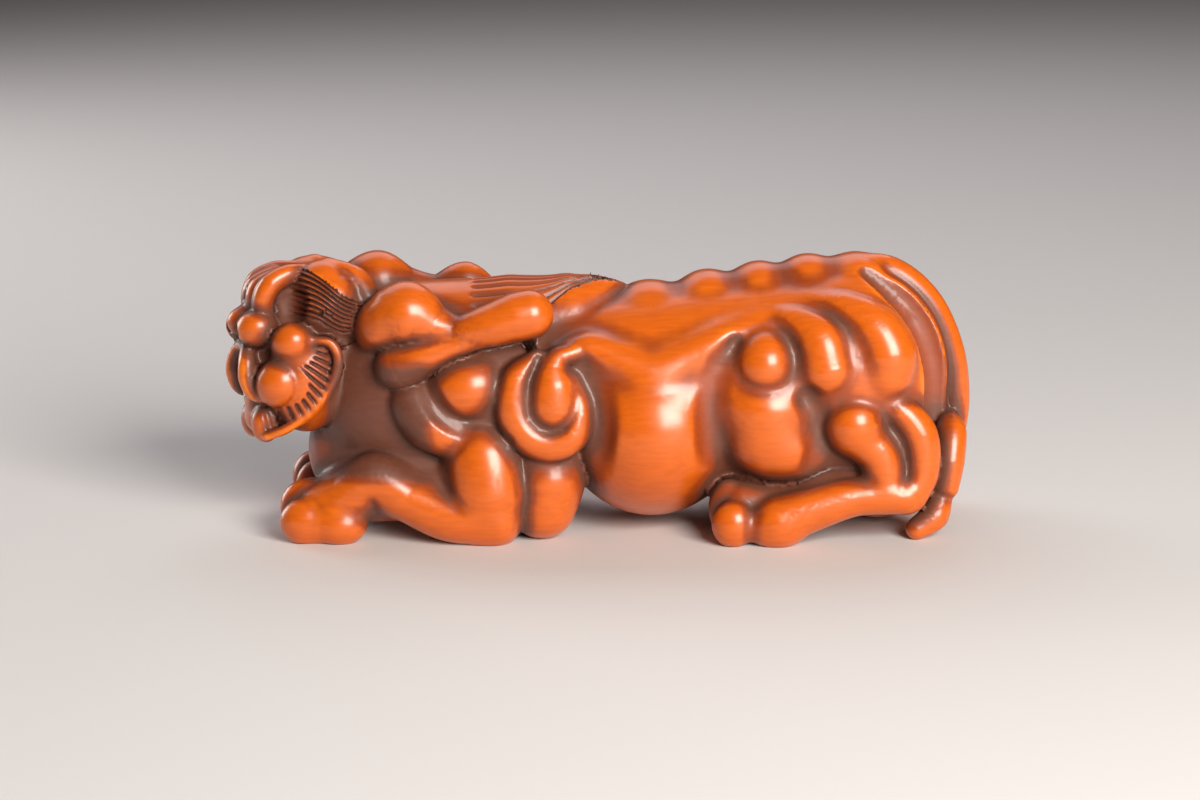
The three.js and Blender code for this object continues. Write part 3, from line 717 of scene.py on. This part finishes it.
def link(tree, source, target):
    tree.links.new(source, target)


def node(tree, kind, **values):
    """A new node, with values set on it, or on its sockets where it has one of that name."""
    made = tree.nodes.new(kind)
    for key, value in values.items():
        name = key.replace("_", " ").title()
        if name in made.inputs:
            if isinstance(value, bpy.types.NodeSocket):
                link(tree, value, made.inputs[name])
            else:
                made.inputs[name].default_value = value
        else:
            setattr(made, key, value)
    return made


def calc(tree, operation, a, b=0.0, clamp=False):
    made = node(tree, "ShaderNodeMath", operation=operation, use_clamp=clamp)
    for socket, value in zip(made.inputs, (a, b)):
        if isinstance(value, bpy.types.NodeSocket):
            link(tree, value, socket)
        else:
            socket.default_value = value
    return made.outputs[0]


def tint(tree, amount, first, second, way="MIX"):
    """Mixes two colours by an amount."""
    made = node(tree, "ShaderNodeMix", data_type="RGBA", blend_type=way)
    for socket, value in ((made.inputs[0], amount), (made.inputs[6], first), (made.inputs[7], second)):
        if isinstance(value, bpy.types.NodeSocket):
            link(tree, value, socket)
        elif isinstance(value, (int, float)):
            socket.default_value = value
        else:
            socket.default_value = (*value, 1)
    return made.outputs[2]


def eased(tree, value, low, high):
    made = node(tree, "ShaderNodeMapRange", interpolation_type="SMOOTHSTEP")
    link(tree, value, made.inputs[0])
    made.inputs[1].default_value = low
    made.inputs[2].default_value = high
    return made.outputs[0]


def kept(tree, name):
    return node(tree, "ShaderNodeAttribute", attribute_type="GEOMETRY", attribute_name=name).outputs["Fac"]


def noise(tree, vector, scale, detail=2.0):
    return node(tree, "ShaderNodeTexNoise", vector=vector, scale=scale, detail=detail).outputs["Fac"]


def boxwood(look):
    """Waxed boxwood: rubbed orange on the high places, brown and dull in the hollows, where stain has
    gathered and shade is painted.
    """
    material = bpy.data.materials.new("boxwood")
    material.use_nodes = True
    tree = material.node_tree
    tree.nodes.clear()
    place = node(tree, "ShaderNodeTexCoord").outputs["Object"]
    along = node(tree, "ShaderNodeMapping", vector=place, scale=(0.12, 1, 1)).outputs[0]
    grain = noise(tree, along, 1600, 3)
    mottle = noise(tree, place, 110, 3)
    hands = noise(tree, place, 420, 2)
    groove, recess, proud, hair = [kept(tree, name) for name in ("groove", "recess", "proud", "hair")]

    drift = calc(tree, "MULTIPLY", calc(tree, "SUBTRACT", mottle, 0.5), 0.7)
    touched = calc(tree, "MULTIPLY", calc(tree, "SUBTRACT", hands, 0.5), 0.3)
    worn = calc(tree, "ADD", proud, drift)
    stain_and_shade = calc(tree, "ADD", recess, calc(tree, "MULTIPLY", touched, recess))
    colour = tint(tree, eased(tree, worn, 0.15, 0.75), look.stained, look.rubbed)
    # Hollows turn darker and then dull brown: gathered stain together with painted shade.
    colour = tint(tree, eased(tree, stain_and_shade, 0.03, 0.2), colour, look.shaded)
    colour = tint(tree, eased(tree, stain_and_shade, 0.18, 0.42), colour, look.dust_and_shade)
    # The fine hair is mixed towards the shaded colour.
    colour = tint(tree, calc(tree, "MULTIPLY", hair, 0.45), colour, look.shaded)
    # Groove bottoms turn almost black: painted shade together with gathered stain.
    colour = tint(tree, calc(tree, "MULTIPLY", eased(tree, groove, 0.2, 0.75), 0.85), colour, look.deep)
    streak = eased(tree, grain, 0.35, 0.7)
    colour = tint(tree, calc(tree, "MULTIPLY", streak, 0.2), colour, (0.45, 0.3, 0.2), "MULTIPLY")

    dull = calc(tree, "MULTIPLY", eased(tree, stain_and_shade, 0.05, 0.4), 0.3)
    dull = calc(tree, "ADD", dull, calc(tree, "MULTIPLY", hair, 0.12))
    dull = calc(tree, "ADD", dull, calc(tree, "MULTIPLY", calc(tree, "SUBTRACT", hands, 0.5), 0.12))
    rough = calc(tree, "ADD", dull, 0.52 - 0.3 * look.gloss, True)

    relief = calc(tree, "ADD", hands, calc(tree, "MULTIPLY", grain, 0.35))
    bump = node(tree, "ShaderNodeBump", height=relief, strength=0.35, distance=0.00006)
    skin = node(tree, "ShaderNodeBsdfPrincipled", base_color=colour, roughness=rough, normal=bump.outputs[0])
    skin.inputs["IOR"].default_value = 1.5
    skin.inputs["Coat Weight"].default_value = 0.35
    skin.inputs["Coat Roughness"].default_value = 0.22
    end = node(tree, "ShaderNodeOutputMaterial")
    link(tree, skin.outputs[0], end.inputs["Surface"])
    return material


class PIXIU_OT_finish(bpy.types.Operator):
    """Stain and wax the statue, painting shade into its hollows"""

    bl_idname = "pixiu.finish"
    bl_label = "Stain and Wax the Wood"

    def execute(self, context):
        piece = bpy.data.objects.get("boxwood_pixiu")
        if piece is None:
            raise RuntimeError("carve the pixiu first")
        wood = boxwood(context.scene.pixiu_wood)
        piece.data.materials.clear()
        piece.data.materials.append(wood)
        return {"FINISHED"}


# The stage


def soft_light(name, place, target, size, power, colour):
    bpy.ops.object.light_add(type="AREA", location=place)
    lamp = bpy.context.object
    lamp.name = name
    lamp.data.shape = "RECTANGLE"
    lamp.data.size, lamp.data.size_y = size
    lamp.data.energy = power
    lamp.data.color = colour
    lamp.rotation_euler = (Vector(target) - Vector(place)).to_track_quat("-Z", "Y").to_euler()
    return lamp


class PIXIU_OT_stage(bpy.types.Operator):
    """Add the floor, the lights and the camera"""

    bl_idname = "pixiu.stage"
    bl_label = "Set the Stage"

    def execute(self, context):
        look = context.scene.pixiu_stage
        bpy.ops.object.select_all(action="DESELECT")
        bpy.ops.mesh.primitive_plane_add(size=8, location=(0, 0, 0))
        floor = context.object
        floor.name = "floor"
        paint = bpy.data.materials.new("plain_floor")
        paint.use_nodes = True
        skin = paint.node_tree.nodes["Principled BSDF"]
        skin.inputs["Base Color"].default_value = (*look.floor, 1)
        skin.inputs["Roughness"].default_value = 0.7
        floor.data.materials.append(paint)

        middle = (0, 0, 0.02)
        soft_light("key", (0.27, -0.46, 0.27), middle, (0.3, 0.3), look.key_power, (1, 0.95, 0.88))
        soft_light("back", (-0.1, 0.4, 0.5), middle, (0.8, 0.4), look.back_power, (0.97, 0.94, 1))
        soft_light("side", (-0.5, 0.3, 0.16), middle, (0.3, 0.3), look.side_power, (1, 0.96, 0.92))

        world = context.scene.world or bpy.data.worlds.new("room")
        context.scene.world = world
        world.use_nodes = True
        sky = world.node_tree.nodes["Background"]
        sky.inputs["Color"].default_value = (1, 0.97, 0.96, 1)
        sky.inputs["Strength"].default_value = look.sky

        bpy.ops.object.camera_add(location=CAMERA_AT, rotation=(math.radians(90 - CAMERA_PITCH), 0, 0))
        camera = context.object
        camera.name = "camera"
        camera.data.lens = 90
        camera.data.sensor_width = 36
        camera.data.clip_start = 0.01
        context.scene.camera = camera
        context.scene.view_settings.view_transform = "Standard"
        return {"FINISHED"}


class PIXIU_PT_panel(bpy.types.Panel):
    """The steps and the sizes of the pixiu"""

    bl_idname = "PIXIU_PT_panel"
    bl_label = "Boxwood Pixiu"
    bl_space_type = "VIEW_3D"
    bl_region_type = "UI"
    bl_category = "Pixiu"

    def draw(self, context):
        scene = context.scene
        for operator, group, names in (
            ("pixiu.carve", scene.pixiu_carving, PixiuCarving.__annotations__),
            ("pixiu.finish", scene.pixiu_wood, PixiuWood.__annotations__),
            ("pixiu.stage", scene.pixiu_stage, PixiuStage.__annotations__),
        ):
            box = self.layout.box()
            for name in names:
                box.prop(group, name)
            box.operator(operator)


CLASSES = (
    PixiuCarving, PixiuWood, PixiuStage,
    PIXIU_OT_carve, PIXIU_OT_finish, PIXIU_OT_stage, PIXIU_PT_panel,
)


def register():
    for cls in CLASSES:
        bpy.utils.register_class(cls)
    bpy.types.Scene.pixiu_carving = PointerProperty(type=PixiuCarving)
    bpy.types.Scene.pixiu_wood = PointerProperty(type=PixiuWood)
    bpy.types.Scene.pixiu_stage = PointerProperty(type=PixiuStage)


def unregister():
    del bpy.types.Scene.pixiu_stage
    del bpy.types.Scene.pixiu_wood
    del bpy.types.Scene.pixiu_carving
    for cls in reversed(CLASSES):
        bpy.utils.unregister_class(cls)


def main():
    register()
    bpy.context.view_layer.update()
    bpy.ops.pixiu.carve()
    bpy.ops.pixiu.finish()
    bpy.ops.pixiu.stage()


if __name__ == "__main__":
    main()
